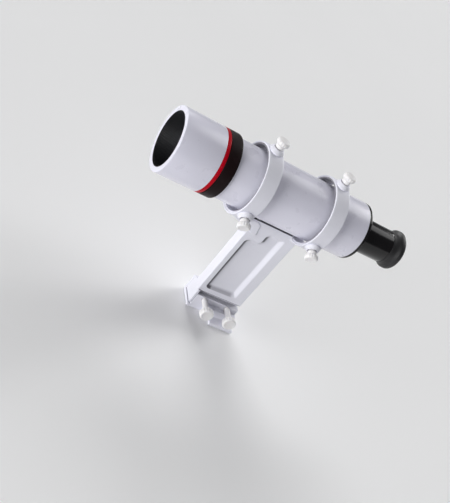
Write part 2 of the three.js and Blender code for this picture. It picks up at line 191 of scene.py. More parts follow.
def enamel(name, colour, shade, rough, peel, grain, coat, specular=0.5, painted_shade_mask=None):
    """Sprayed enamel: faint mottling, dust in the lacquer, orange peel and, on castings, a grain.

    The last argument, if given, makes a mask by position from the finish: where it is 1, the paint is
    darkened by painted shade.
    """
    finish = Finish(name, Coat_Weight=coat, Coat_Roughness=0.24, Specular_IOR_Level=specular)
    cloud = finish.ramp(finish.noise(22.0, 4.0), 0.35, 0.65)
    base = finish.mix(cloud, colour, shade)
    # Painted shade: the base colour darkens where the mask is 1.
    if painted_shade_mask is not None:
        base = finish.mix(painted_shade_mask(finish), base, PAINTED_SHADE)
    dust = finish.ramp(finish.noise(1500.0, 1.0), 0.70, 0.78, 0.0, 0.25)
    finish.set("Base Color", finish.mix(dust, base, rgb(0.52, 0.51, 0.52)))
    finish.set("Roughness", finish.ramp(finish.noise(90.0, 3.0), 0.3, 0.7, rough - 0.04, rough + 0.05))
    skin = finish.bump(finish.noise(620.0, 2.0), peel, 0.00004)
    if grain:
        skin = finish.bump(finish.noise(2600.0, 3.0), grain, 0.00003, skin)
    finish.set("Normal", skin)
    return finish.material


def pocket_shade(finish):
    """How much painted shade darkens the pocket's corners, the gap under the tube and the foot's seam, 0
    to 1.
    """
    x, y, z = finish.parts_of_place()
    side = finish.math("ABSOLUTE", x)
    left, right, low, high = (POCKET[k] for k in ("left", "right", "bottom", "top"))
    step_y, step_z = POCKET["step_y"], POCKET["step_z"]

    def above(value, start, fade):
        return finish.ramp(value, start * MM, (start + fade) * MM)

    def beyond(value, start):
        return finish.math("GREATER_THAN", value, start * MM)

    def short_of(value, end):
        return finish.math("LESS_THAN", value, end * MM)

    # The walls lie between the pocket's floor and the stalk's skin.
    # Painted shade on the pocket's front wall, its lower wall and the wall of its step.
    wall = finish.times(
        above(side, STALK_THICK - POCKET_DEPTH, 1.3), finish.below(side, STALK_THICK - 0.1, 0.25)
    )
    front = finish.times(finish.below(y, left + 8.0, 3.0), finish.below(z, step_z - 2.0, 2.5))
    lower = finish.times(
        finish.ramp(z, (low + 5.0) * MM, (low + 7.0) * MM, LOWER_PAINTED_SHADE, 0.0),
        finish.below(y, right - 5.0, 3.0),
    )
    step = finish.times(
        above(z, step_z + 0.5, 1.5), finish.below(z, high - 3.5, 2.0), finish.below(y, step_y + 6.0, 1.5)
    )
    edges = finish.math("MAXIMUM", front, finish.math("MAXIMUM", lower, step))
    inside = finish.times(
        beyond(y, left - 0.2), short_of(z, high), beyond(z, low - 0.2), short_of(y, right)
    )
    pocket = finish.times(wall, edges, inside)
    # A painted dark band stands for the shade in the gap under the tube, and another for the shade under
    # the stalk over its foot.
    gap = finish.times(
        above(z, STALK_TOP - 0.6, 0.3), short_of(z, STALK_TOP + 0.3),
        above(y, GAP_START, 1.0), finish.below(y, GAP_END, 1.0),
    )
    seam = finish.times(
        finish.below(z, STALK_BOTTOM + 0.9, 0.4), beyond(z, STALK_BOTTOM - 0.6), beyond(y, SEAM_START)
    )
    lines = finish.times(finish.math("MAXIMUM", gap, seam), short_of(side, STALK_THICK + 0.2))
    patchy = finish.ramp(finish.noise(60.0, 2.0), 0.3, 0.6, 0.9, 1.0)
    return finish.times(finish.math("MAXIMUM", pocket, lines), patchy)


def bore_shade(finish):
    """How much painted shade darkens the rings' bores: next to none below, and a dull grey over the top.
    """
    height = finish.parts_of_place()[2]
    return finish.ramp(height, (AXIS - 27.0) * MM, (AXIS - 12.0) * MM, 0.0, 0.75)


def anodised(name, colour, sheen, rough, pitch, specular=0.5):
    """Dyed aluminium with fine turning marks and a dusting of paler wear."""
    finish = Finish(name, Specular_IOR_Level=specular)
    worn = finish.ramp(finish.noise(160.0, 5.0), 0.55, 0.75)
    finish.set("Base Color", finish.mix(worn, colour, sheen))
    finish.set("Roughness", finish.ramp(finish.noise(380.0, 3.0), 0.3, 0.7, rough - 0.05, rough + 0.07))
    marks = finish.bump(finish.turning(pitch), 0.25, 0.00001)
    finish.set("Normal", finish.bump(finish.noise(3200.0, 2.0), 0.12, 0.00002, marks))
    return finish.material


WHITE_TUBE = enamel("white_enamel", rgb(0.80, 0.79, 0.90), rgb(0.775, 0.77, 0.88), 0.30, 0.10, 0.0, 0.7)
CAST_PAINT = rgb(0.82, 0.82, 0.89), rgb(0.79, 0.79, 0.865)
# The castings' enamel carries painted shade in the stalk's pocket, in the gap under the tube and along the
# foot's seam.
WHITE_CAST = enamel("white_cast_enamel", *CAST_PAINT, 0.46, 0.14, 0.10, 0.0, 0.4, pocket_shade)
RED = enamel("red_enamel", rgb(0.50, 0.0012, 0.013), rgb(0.44, 0.001, 0.010), 0.35, 0.06, 0.0, 0.0, 0.08)
LOCK_BLACK = anodised(
    "black_anodised_satin", rgb(0.011, 0.005, 0.0055), rgb(0.016, 0.008, 0.009), 0.42, 0.00022, 0.10
)
# The bores' enamel, on the rings' sleeves: painted shade darkens it over the top of each bore.
WHITE_BORE = enamel("white_bore_enamel", *CAST_PAINT, 0.50, 0.14, 0.10, 0.0, 0.3, bore_shade)
INNER_BLACK = anodised(
    "black_anodised_inner", rgb(0.008, 0.008, 0.011), rgb(0.013, 0.013, 0.017), 0.50, 0.0004
)


def gloss_black():
    finish = Finish("gloss_black_enamel", Specular_IOR_Level=0.36, Coat_Weight=0.1, Coat_Roughness=0.05)
    cloud = finish.ramp(finish.noise(40.0, 3.0), 0.35, 0.7)
    finish.set("Base Color", finish.mix(cloud, rgb(0.004, 0.0035, 0.004), rgb(0.006, 0.005, 0.006)))
    finish.set("Roughness", finish.ramp(finish.noise(240.0, 3.0), 0.3, 0.75, 0.14, 0.21))
    finish.set("Normal", finish.bump(finish.noise(520.0, 2.0), 0.05, 0.00003))
    return finish.material


def rubber():
    finish = Finish("moulded_rubber", Specular_IOR_Level=0.45)
    bloom = finish.ramp(finish.noise(110.0, 5.0), 0.45, 0.75)
    finish.set("Base Color", finish.mix(bloom, rgb(0.014, 0.014, 0.015), rgb(0.024, 0.024, 0.026)))
    finish.set("Roughness", finish.ramp(finish.noise(420.0, 4.0), 0.3, 0.7, 0.40, 0.56))
    skin = finish.bump(finish.noise(1400.0, 3.0), 0.30, 0.00004)
    finish.set("Normal", finish.bump(finish.noise(5200.0, 2.0), 0.15, 0.00002, skin))
    return finish.material


def nylon():
    finish = Finish(
        "moulded_nylon", Subsurface_Weight=0.15, Subsurface_Scale=0.0015,
        Subsurface_Radius=(1.0, 0.95, 0.85), Specular_IOR_Level=0.45,
    )
    cloud = finish.ramp(finish.noise(130.0, 4.0), 0.35, 0.7)
    base = finish.mix(cloud, rgb(0.88, 0.865, 0.87), rgb(0.85, 0.84, 0.84))
    speck = finish.ramp(finish.noise(1800.0, 2.0), 0.66, 0.76, 0.0, 0.2)
    finish.set("Base Color", finish.mix(speck, base, rgb(0.70, 0.70, 0.67)))
    finish.set("Roughness", finish.ramp(finish.noise(300.0, 3.0), 0.3, 0.7, 0.33, 0.46))
    finish.set("Normal", finish.bump(finish.noise(1900.0, 3.0), 0.15, 0.00003))
    return finish.material


def brass():
    finish = Finish("turned_brass", Metallic=1.0)
    tarnish = finish.ramp(finish.noise(220.0, 5.0), 0.4, 0.75)
    finish.set("Base Color", finish.mix(tarnish, rgb(0.62, 0.45, 0.18), rgb(0.38, 0.26, 0.10)))
    finish.set("Roughness", finish.ramp(finish.noise(500.0, 3.0), 0.3, 0.7, 0.24, 0.40))
    finish.set("Normal", finish.bump(finish.turning(0.0003), 0.35, 0.00001))
    return finish.material


def wire():
    finish = Finish("drawn_wire", Metallic=1.0)
    soot = finish.ramp(finish.noise(900.0, 3.0), 0.35, 0.7)
    finish.set("Base Color", finish.mix(soot, rgb(0.20, 0.20, 0.21), rgb(0.08, 0.08, 0.085)))
    finish.set("Roughness", finish.ramp(finish.noise(1500.0, 2.0), 0.3, 0.7, 0.3, 0.5))
    return finish.material


def coated_glass():
    """Lens glass with an anti-reflection coating, and the faintest dust on it."""
    finish = Finish(
        "coated_lens_glass", Transmission_Weight=1.0, IOR=1.52, Thin_Film_Thickness=118.0,
        Thin_Film_IOR=1.38, Specular_IOR_Level=0.5,
    )
    haze = finish.ramp(finish.noise(140.0, 4.0), 0.4, 0.8)
    finish.set("Base Color", finish.mix(haze, rgb(0.93, 0.97, 0.96), rgb(0.88, 0.94, 0.93)))
    finish.set("Roughness", finish.ramp(finish.noise(900.0, 4.0), 0.62, 0.8, 0.0, 0.08))
    return finish.material


GLOSS_BLACK = gloss_black()
RUBBER = rubber()
NYLON = nylon()
BRASS = brass()
WIRE = wire()
GLASS = coated_glass()

# ---- Mesh making ----


def add_piece(name, mesh, material, body, nodes=()):
    """Puts a finished mesh, in metres, into the scene as a piece that rides on a body."""
    mesh.materials.append(material)
    piece = bpy.data.objects.new(name, mesh)
    scene.collection.objects.link(piece)
    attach(piece, body)
    if nodes:
        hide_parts(*nodes)
    return piece


def rounded(corners, steps):
    """[a, b, fillet] corners of a closed outline turned into points, each fillet into an arc."""
    points = []
    for i, corner in enumerate(corners):
        here, fillet = np.array(corner[:2], float), corner[2] if len(corner) > 2 else 0.0
        before = np.array(corners[i - 1][:2]) - here
        after = np.array(corners[(i + 1) % len(corners)][:2]) - here
        if not fillet:
            points.append(here)
            continue
        before, after = before / np.linalg.norm(before), after / np.linalg.norm(after)
        half = math.acos(np.clip(before @ after, -1, 1)) / 2
        between = (before + after) / np.linalg.norm(before + after)
        centre = here + between * fillet / math.sin(half)
        start = here + before * fillet / math.tan(half) - centre
        side = math.copysign(1, before[0] * after[1] - before[1] * after[0])
        sweep = -side * (math.pi - 2 * half)
        for k in range(steps + 1):
            turn = sweep * k / steps
            c, s = math.cos(turn), math.sin(turn)
            points.append(centre + np.array((c * start[0] - s * start[1], s * start[0] + c * start[1])))
    return np.array(points)


def lathe_mesh(name, outline, segments, relief=None, solid=False, crease=38.0):
    """Turns an outline of [radius, height] points about +Z. relief(radius, height, angle) shapes it.

    The outline is a closed ring, or with solid it runs from the axis back to the axis.
    """
    turns = np.arange(segments) * 2 * math.pi / segments
    radius = np.repeat(outline[:, 0][:, None], segments, 1)
    height = np.repeat(outline[:, 1][:, None], segments, 1)
    angle = np.repeat(turns[None, :], len(outline), 0)
    if relief is not None:
        radius = relief(radius, height, angle)
    points = np.stack([radius * np.cos(angle), radius * np.sin(angle), height], -1).reshape(-1, 3)
    rows = np.arange(len(outline) - 1 if solid else len(outline))
    next_row = (rows + 1) % len(outline)
    columns = np.arange(segments)
    next_column = (columns + 1) % segments
    loops = ((rows, columns), (next_row, columns), (next_row, next_column), (rows, next_column))
    faces = np.stack([(row[:, None] * segments + column).ravel() for row, column in loops], -1)
    return shaped_mesh(name, points, faces, crease)


def shaped_mesh(name, points, faces, crease):
    """A smooth mesh from points in millimetres, sharp where faces meet at over crease degrees."""
    mesh = bpy.data.meshes.new(name)
    mesh.from_pydata((points * MM).tolist(), [], faces.tolist())
    work = bmesh.new()
    work.from_mesh(mesh)
    bmesh.ops.remove_doubles(work, verts=work.verts, dist=1e-7)
    bmesh.ops.recalc_face_normals(work, faces=work.faces)
    for face in work.faces:
        face.smooth = True
    limit = math.radians(crease)
    for edge in work.edges:
        if len(edge.link_faces) == 2 and edge.calc_face_angle(0.0) > limit:
            edge.smooth = False
    work.to_mesh(mesh)
    work.free()
    return mesh


# +Z of a lathe mesh laid along the optical axis, with height measured back from the front rim.
ALONG_AXIS = Matrix.Translation((0, FRONT * MM, AXIS * MM)) @ Matrix.Rotation(-math.pi / 2, 4, "X")


def turned(name, corners, material, body, nodes=(), segments=160, steps=4, relief=None, solid=False):
    """A piece turned about the optical axis from [radius, station, fillet] corners."""
    mesh = lathe_mesh(name, rounded(corners, steps), segments, relief, solid)
    mesh.transform(ALONG_AXIS)
    return add_piece(name, mesh, material, body, nodes)


# ---- Objective head ----

shield_start, shield_end = stations("dew_shield")
SHIELD_R = reach("dew_shield")
SHIELD_WALL = 4.9  # at the front, where the bore clears the objective
SHIELD_THIN = 1.4  # behind the step, round the cell
SHIELD_STEP = shield_start + 21.0
LINING = 0.28
bore = SHIELD_R - SHIELD_WALL

turned("dew_shield_shell", [
    (bore, shield_start, 0.15),
    (SHIELD_R, shield_start, 0.4),
    (SHIELD_R, shield_end, 0.25),
    (SHIELD_R - SHIELD_THIN, shield_end),
    (SHIELD_R - SHIELD_THIN, SHIELD_STEP),
    (bore, SHIELD_STEP),
], WHITE_TUBE, "dew_shield", ["dew_shield"], segments=192)


def ridged(start, end, outer, depth, pitch):
    """The inside of a blackened bore: saw-tooth ridges that stop stray light."""
    corners = [(outer, start), (outer, end)]
    count = round((end - start) / pitch)
    for k in range(count, 0, -1):
        back = start + (end - start) * k / count
        corners += [(outer - depth * 0.35, back), (outer - depth, back - pitch * 0.85)]
    return corners


turned("dew_shield_lining", ridged(shield_start + 0.2, SHIELD_STEP, bore + 0.02, LINING, 1.15),
       INNER_BLACK, "dew_shield", segments=160)

accent_start, accent_end = stations("accent_ring")
NOSE_R = reach("tube_nose")
BORE_R = NOSE_R + 0.3
turned("accent_band", [
    (BORE_R, accent_start),
    (SHIELD_R, accent_start, 0.35),
    (SHIELD_R, accent_end, 0.35),
    (BORE_R, accent_end),
], RED, "dew_shield", ["accent_ring"], segments=192, steps=3)

lock_start, lock_end = stations("lock_ring")
turned("lock_ring_band", [
    (BORE_R, lock_start),
    (SHIELD_R, lock_start, 0.5),
    (SHIELD_R, lock_end - 0.9, 1.0),
    (SHIELD_R - 0.35, lock_end, 0.35),
    (BORE_R, lock_end),
], LOCK_BLACK, "lock_ring", ["lock_ring"], segments=192)

cell_start, cell_end = stations("objective_cell")
CELL_R = reach("objective_cell")
SEAT_R = 25.6
CELL_LIP, CELL_SKIRT = 1.3, 6.1
turned("objective_cell_body", [
    (SEAT_R - 1.0, cell_start, 0.25),
    (CELL_R, cell_start, 0.3),
    (CELL_R, cell_end),
    (BORE_R, cell_end),
    (BORE_R, cell_end - CELL_SKIRT),
    (SEAT_R, cell_end - CELL_SKIRT),
    (SEAT_R, cell_start + CELL_LIP),
    (SEAT_R - 1.0, cell_start + CELL_LIP, 0.2),
], INNER_BLACK, "objective_head", ["objective_cell"])


def lens(name, node, body, faces, segments=96):
    """A lens filling its node's box: the bulge of its front and rear faces at the centre."""
    start, end = stations(node)
    radius = reach(node)
    front, rear = faces
    edge_start = start + max(front, 0)
    edge_end = end - max(rear, 0)
    parts = np.linspace(0, 1, 13)
    outline = [(radius * t, edge_start - front * (1 - t * t)) for t in parts]
    outline += [(radius * t, edge_end + rear * (1 - t * t)) for t in parts[::-1]]
    mesh = lathe_mesh(name, np.array(outline), segments, solid=True)
    mesh.transform(ALONG_AXIS)
    add_piece(name, mesh, GLASS, body, [node])


lens("objective_crown_glass", "objective_crown_lens", "objective_head", (2.9, 4.0))
lens("objective_flint_glass", "objective_flint_lens", "objective_head", (-3.8, 0.6))

# ---- Tube ----

nose_start, nose_end = stations("tube_nose")
tube_start, tube_end = stations("main_tube")
TUBE_R = reach("main_tube")
NOSE_PITCH = 0.75
NOSE_WALL = 2.8


def nose_thread(radius, height, angle):
    """A fine screw thread where the cell and the lock ring run on the nose."""
    on_thread = (radius > NOSE_R - 0.05) & (height > nose_start + 0.8) & (height < tube_start - 0.6)
    phase = (height / NOSE_PITCH - angle / (2 * math.pi)) % 1.0
    depth = 0.32 * np.abs(2 * phase - 1)
    return np.where(on_thread, radius - depth, radius)


thread_rows = [(NOSE_R, s) for s in np.arange(nose_start + 0.5, tube_start - 0.3, NOSE_PITCH / 4)]
turned("tube_nose_thread", [
    (NOSE_R - NOSE_WALL, nose_start),
    (NOSE_R - 0.3, nose_start),
    *thread_rows,
    (NOSE_R, tube_start - 0.3),
    (TUBE_R - 1.9, tube_start - 0.3),
    (TUBE_R - 1.9, nose_end),
    (NOSE_R - NOSE_WALL, nose_end),
], INNER_BLACK, "tube", ["tube_nose"], segments=96, relief=nose_thread)

CAP_LIP = 0.9  # how far the rear cap laps over the end of the tube
TUBE_WALL = 1.6
turned("main_tube_shell", [
    (TUBE_R - TUBE_WALL, tube_start),
    (TUBE_R, tube_start, 0.3),
    (TUBE_R, tube_end - CAP_LIP, 0.25),
    (TUBE_R - TUBE_WALL, tube_end - CAP_LIP, 0.2),
], WHITE_TUBE, "tube", ["main_tube"], segments=192)

cap_end = stations("rear_cap")[1]
SPIGOT_R = 14.6
CAP_DEPTH = 8.0
CAP_SKIRT = (TUBE_R - 3.9, TUBE_R - 1.9)  # inside and outside, within the tube
turned("rear_cap_plate", [
    (SPIGOT_R, tube_end + 0.3),
    (CAP_SKIRT[0], tube_end + 0.3),
    (CAP_SKIRT[0], tube_end - CAP_DEPTH),
    (CAP_SKIRT[1], tube_end - CAP_DEPTH),
    (CAP_SKIRT[1], tube_end - CAP_LIP + 0.1),
    (TUBE_R, tube_end - CAP_LIP + 0.1, 0.1),
    (TUBE_R, cap_end, 0.5),
    (TUBE_R - 4.6, cap_end, 0.15),
    (TUBE_R - 4.9, cap_end - 0.35, 0.1),
    (TUBE_R - 5.6, cap_end - 0.35, 0.1),
    (TUBE_R - 5.9, cap_end, 0.15),
    (SPIGOT_R, cap_end, 0.2),
], GLOSS_BLACK, "tube", ["rear_cap"], segments=192)

# ---- Eyepiece ----

barrel_start, barrel_end = stations("eyepiece_barrel")
cup_start, cup_end = stations("eyecup")
BARREL_R = reach("eyepiece_barrel")
BARREL_BORE, BARREL_THROAT = 13.2, 12.0
THROAT_DEPTH = 10.0
NECK_R = 14.9

turned("eyepiece_barrel_body", [
    (BARREL_THROAT, barrel_start, 0.2),
    (SPIGOT_R - 0.3, barrel_start, 0.3),
    (SPIGOT_R - 0.3, cap_end + 0.3),
    (BARREL_R - 0.35, cap_end + 0.3),
    (BARREL_R - 0.35, cap_end + 0.75),
    (BARREL_R, cap_end + 0.95, 0.15),
    (BARREL_R, cup_start - 0.3, 0.3),
    (NECK_R, cup_start - 0.3),
    (NECK_R, barrel_end),
    (BARREL_BORE, barrel_end),
    (BARREL_BORE, barrel_start + THROAT_DEPTH),
    (BARREL_THROAT, barrel_start + THROAT_DEPTH),
], GLOSS_BLACK, "tube", ["eyepiece_barrel"], segments=160)

CUP_R = reach("eyecup")
turned("eyecup_rubber", [
    (NECK_R + 0.3, cup_start),
    (BARREL_R + 0.02, cup_start, 0.35),
    (BARREL_R + 0.1, cup_start + 3.0, 4.0),
    (17.3, cup_start + 5.6, 5.0),
    (CUP_R - 0.15, cup_start + 8.6, 1.1),
    (CUP_R, cup_start + 12.6, 2.2),
    (CUP_R - 2.4, cup_end, 1.1),
    (CUP_R - 4.2, cup_end - 0.5, 0.8),
    (12.6, cup_start + 8.4, 0.5),
    (12.2, cup_start + 8.4, 0.3),
    (11.7, cup_start + 7.3, 0.3),
    (10.5, cup_start + 7.0, 0.4),
    (10.5, barrel_end + 0.3, 0.2),
    (NECK_R + 0.3, barrel_end + 0.3),
], RUBBER, "tube", ["eyecup"], segments=160, steps=6)

retainer_start, retainer_end = stations("eye_lens_retainer")
EYE_R = reach("eye_lens_retainer")
turned("eye_lens_retainer_ring", [
    (EYE_R - 0.8, retainer_start),
    (EYE_R, retainer_start),
    (EYE_R, retainer_end, 0.2),
    (9.5, retainer_end, 0.35),
    (9.5, retainer_end - 1.2, 0.2),
    (EYE_R - 0.8, retainer_end - 1.2),
], INNER_BLACK, "tube", ["eye_lens_retainer"], segments=96)

lens("eye_lens_crown_glass", "eye_lens_crown", "tube", (1.8, 2.2))
lens("eye_lens_flint_glass", "eye_lens_flint", "tube", (0.2, -1.9))
lens("field_lens_glass", "field_lens", "tube", (2.2, 0.3))

# ---- Thumb screws ----

FLUTES = 16
THREAD_PITCH = 1.0


def screw_mesh(name, tip, wall, knob, end, thread, head, shank):
    """A moulded thumb screw along +Z, threaded from tip to wall and scalloped from knob to end.

    shank holds the corners between the thread and the head.
    """
    rows = [(thread, z) for z in np.arange(tip + 1.0, wall, THREAD_PITCH / 5)]
    outline = rounded([
        (0.0, tip),
        (thread - 0.9, tip, 0.2),
        (thread, tip + 0.9),
        *rows,
        (thread, wall + 0.2),
        *shank,
        (head - 0.9, knob, 0.25),
        (head, knob + 0.9, 0.35),
        (head, (knob + end) / 2),
        (head, end - 1.0, 0.5),
        (head - 1.0, end, 0.4),
        (head - 2.4, end, 0.5),
        (head - 2.9, end - 0.25, 0.4),
        (0.0, end - 0.25),
    ], 3)

    def relief(radius, height, angle):
        cut = (radius > thread - 0.02) & (height > tip + 0.9) & (height < wall) & (radius < thread + 0.02)
        phase = (height / THREAD_PITCH - angle / (2 * math.pi)) % 1.0
        radius = np.where(cut, radius - 0.45 * np.abs(2 * phase - 1), radius)
        rim = np.clip((radius - head + 1.3) / 1.3, 0, 1) * (height > knob - 0.1)
        scallop = 0.5 + 0.5 * np.cos(FLUTES * angle)
        return radius - 0.42 * rim * scallop**1.5

    return lathe_mesh(name, outline, 96, relief, solid=True, crease=48.0)


def towards(origin, direction):
    """The matrix that lays a mesh's +Z along a direction, from an origin in millimetres."""
    turn = Vector(direction).to_track_quat("Z", "Y").to_matrix().to_4x4()
    return Matrix.Translation(Vector(origin) * MM) @ turn


def direction_of(degrees):
    turn = math.radians(degrees)
    return np.array((math.cos(turn), 0.0, math.sin(turn)))


SCREW_TIP = TUBE_R + 0.3
SCREW_WALL = 39.9  # where the thread ends
SCREW_END = span("front_ring_screw_top")[1][2] - AXIS
SCREW_THREAD, SCREW_HEAD = 3.0, 6.3
SCREW_KNOB = SCREW_END - 4.6
COLLAR = [
    (4.3, 40.4, 0.25), (4.3, SCREW_KNOB - 0.9, 0.4), (3.5, SCREW_KNOB - 0.6, 0.2), (3.5, SCREW_KNOB, 0.2),
]
for ring, y in RINGS.items():
    for side, degrees in SIDES.items():
        node = f"{ring}_ring_screw_{side}"
        sizes = SCREW_TIP, SCREW_WALL, SCREW_KNOB, SCREW_END, SCREW_THREAD, SCREW_HEAD
        mesh = screw_mesh(node + "_moulding", *sizes, COLLAR)
        mesh.transform(towards((0, y, AXIS), direction_of(degrees)))
        add_piece(node + "_moulding", mesh, NYLON, node, [node])

CLAMP_THREAD, CLAMP_HEAD = 2.4, 6.9
CLAMP_WALL, CLAMP_KNOB = 9.2, 25.4
SHANK = [(2.9, 9.6, 0.2), (2.9, 21.5, 3.0), (4.6, CLAMP_KNOB, 0.3)]
for place, centre in CLAMPS.items():
    node = f"clamp_screw_{place}"
    low, high = span(node)
    sizes = low[0], CLAMP_WALL, CLAMP_KNOB, high[0], CLAMP_THREAD, CLAMP_HEAD
    mesh = screw_mesh(node + "_moulding", *sizes, SHANK)
    mesh.transform(towards((0, centre[1], centre[2]), (1, 0, 0)))
    add_piece(node + "_moulding", mesh, NYLON, node, [node])

# ---- Castings: solids as distance fields, met with soft fillets ----


def smaller(a, b, soft):
    """The union of two fields, with a fillet about soft wide."""
    near = np.maximum(soft - np.abs(a - b), 0) / soft
    return np.minimum(a, b) - near * near * soft / 4


def larger(a, b, soft):
    return -smaller(-a, -b, soft)


def rectangle(a, b, half_a, half_b, corner):
    qa, qb = np.abs(a) - half_a + corner, np.abs(b) - half_b + corner
    return np.hypot(np.maximum(qa, 0), np.maximum(qb, 0)) + np.minimum(np.maximum(qa, qb), 0) - corner


def slab(profile, across, half, edge):
    """A plate with a 2-D profile, 2 half thick, its edges rounded."""
    a, b = profile + edge, np.abs(across) - half + edge
    return np.minimum(np.maximum(a, b), 0) + np.hypot(np.maximum(a, 0), np.maximum(b, 0)) - edge


def polygon(a, b, corners):
    """The exact distance to a closed polygon, negative inside."""
    corners = np.array(corners, float)
    nearest, inside = None, None
    for here, there in zip(corners, np.roll(corners, 1, 0)):
        edge = there - here
        wa, wb = a - here[0], b - here[1]
        t = np.clip((wa * edge[0] + wb * edge[1]) / (edge @ edge), 0, 1)
        gap = (wa - edge[0] * t) ** 2 + (wb - edge[1] * t) ** 2
        nearest = gap if nearest is None else np.minimum(nearest, gap)
        above_here, below_there = b >= here[1], b < there[1]
        left = edge[0] * wb > edge[1] * wa
        flip = (above_here & below_there & left) | (~above_here & ~below_there & ~left)
        inside = flip if inside is None else inside ^ flip
    return np.sqrt(nearest) * np.where(inside, -1.0, 1.0)


def corner_field(a, b, x, y, radius):
    """The distance to a quadrant that opens towards -a and +b from (x, y), with its corner rounded."""
    qa, qb = a - x + radius, y - b + radius
    return np.hypot(np.maximum(qa, 0), np.maximum(qb, 0)) + np.minimum(np.maximum(qa, qb), 0) - radius


def cast(name, field, low, high, voxel, material, body, nodes):
    """Meshes a distance field and draws every vertex onto its exact surface."""
    low, high = np.array(low, float) - 2 * voxel, np.array(high, float) + 2 * voxel
    counts = np.ceil((high - low) / voxel).astype(int) + 1
    x, y, z = (low[k] + voxel * np.arange(counts[k]) for k in range(3))
    values = field(x[:, None, None], y[None, :, None], z[None, None, :])
    band = 4 * voxel  # how far the grid holds true distances, to each side of the surface
    near = np.clip(values, -band, 0.9975 * band)  # just under the grid's background value
    grid = openvdb.FloatGrid(band)
    grid.copyFromArray(np.ascontiguousarray(near, np.float32))
    points, faces = grid.convertToQuads(isovalue=0.0)
    points = low + voxel * np.asarray(points, float)

    def slope(p, step=0.03):
        parts = []
        for k in range(3):
            shift = np.zeros(3)
            shift[k] = step
            parts.append((field(*(p + shift).T) - field(*(p - shift).T)) / (2 * step))
        return np.stack(parts, -1)

    for _ in range(4):
        up = slope(points)
        move = field(*points.T)[:, None] * up / np.maximum((up * up).sum(1), 0.25)[:, None]
        points -= np.clip(move, -voxel, voxel)
    up = slope(points)
    up /= np.linalg.norm(up, axis=1)[:, None]
    faces = np.asarray(faces, int)
    corner = points[faces]
    flat = np.cross(corner[:, 2] - corner[:, 0], corner[:, 3] - corner[:, 1])
    if (flat * up[faces[:, 0]]).sum() < 0:
        faces = faces[:, ::-1]
    mesh = bpy.data.meshes.new(name)
    mesh.from_pydata((points * MM).tolist(), [], faces.tolist())
    mesh.polygons.foreach_set("use_smooth", np.ones(len(faces), bool))
    mesh.normals_split_custom_set_from_vertices(up.tolist())
    return add_piece(name, mesh, material, body, nodes)


# The bracket's driving sizes. Those that the frame gives are read from it.
RING_IN, RING_SEAT, RING_OUT, RING_HALF = 32.2, 33.7, 35.5, 7.7
BOSS_R, BOSS_CROWN, BOSS_TOP, HOLE_R = 7.5, 5.5, 39.7, 3.35
EDGE = 0.8
RING_FILLET, ARM_FILLET, CHEEK_FILLET, RIM_FILLET = 1.6, 1.2, 1.4, 0.3
ARM_FRONT, ARM_ROOT, ARM_LAP = 111.5, 106.5, 5  # the arm's underside, and how far it runs into the stalk
FIELD_SLOPE = 0.65  # scales the pocket's field, so that it doesn't overstate distance on the walls
FOOT_BOTTOM = span("bracket")[0][2]
STOP_DEPTH, STOP_HALF, STOP_CENTRE = 2.8, 10.6, -1.6  # the plate across the foot's front end
STOP_TOP = STALK_BOTTOM + 1.5
RAIL_TOP = 17.3  # where the dovetail's taper ends
CHEEK_PROUD, CHEEK_EDGE = 1.1, 0.7
CHEEK = [(-30, 118.5), (-30, 109), (-20, 105), (-15.5, 105), (-18, 116), (-22, 118.5)]  # Y and Z
RAIL = [
    (-7.2, STALK_BOTTOM + 2), (-7.2, RAIL_TOP), (-9.2, FOOT_BOTTOM), (4.5, FOOT_BOTTOM), (2.5, RAIL_TOP),
    (2.5, STALK_BOTTOM + 2),
]  # X and Z


def pocket_field(x, y, z):
    """How far a point stands above the pocket's surface, whose walls differ in slope."""
    left, right, bottom, top, step_y, step_z = POCKET.values()
    big, small = 6.5, 3.0  # the fillets of the step, into the pocket and out of it
    outer = rectangle(
        y - (left + right) / 2, z - (bottom + top) / 2, (right - left) / 2, (top - bottom) / 2, 4.0
    )
    notch = corner_field(y, z, step_y, step_z, small)
    a, b = outer + big, -notch + big
    outline = np.minimum(np.maximum(a, b), 0) + np.hypot(np.maximum(a, 0), np.maximum(b, 0)) - big
    outline = np.where(np.maximum(outer, -notch) < -big, np.maximum(outer, -notch), outline)
    # The front wall drops at once; the rear wall eases in and is wider.
    across = np.clip((y - left - 3.0) / (right - left - 6.0), 0, 1)
    part = np.clip(-outline / (4.4 + 1.8 * across), 0, 1)
    crisp = 1 - (1 - part) ** 1.25 * (1 + 0.25 * part)
    eased = part * part * (3 - 2 * part)
    drop = POCKET_DEPTH * (crisp + (eased - crisp) * across)
    return (np.abs(x) - STALK_THICK + drop) * FIELD_SLOPE


def ring_band(x, y, z, centre):
    radius = np.hypot(x, z - AXIS) - (RING_IN + RING_OUT) / 2
    return rectangle(radius, y - centre, (RING_OUT - RING_IN) / 2, RING_HALF, 0.5)


def drilled(solid, x, y, z, centre):
    """Cuts the holes for the three screws of the ring at centre."""
    for degrees in SIDES.values():
        way = direction_of(degrees)
        along = x * way[0] + (z - AXIS) * way[2]
        side = np.hypot(x * way[2] - (z - AXIS) * way[0], y - centre)
        solid = np.maximum(solid, -np.maximum(side - HOLE_R, 20 - along))
    return solid


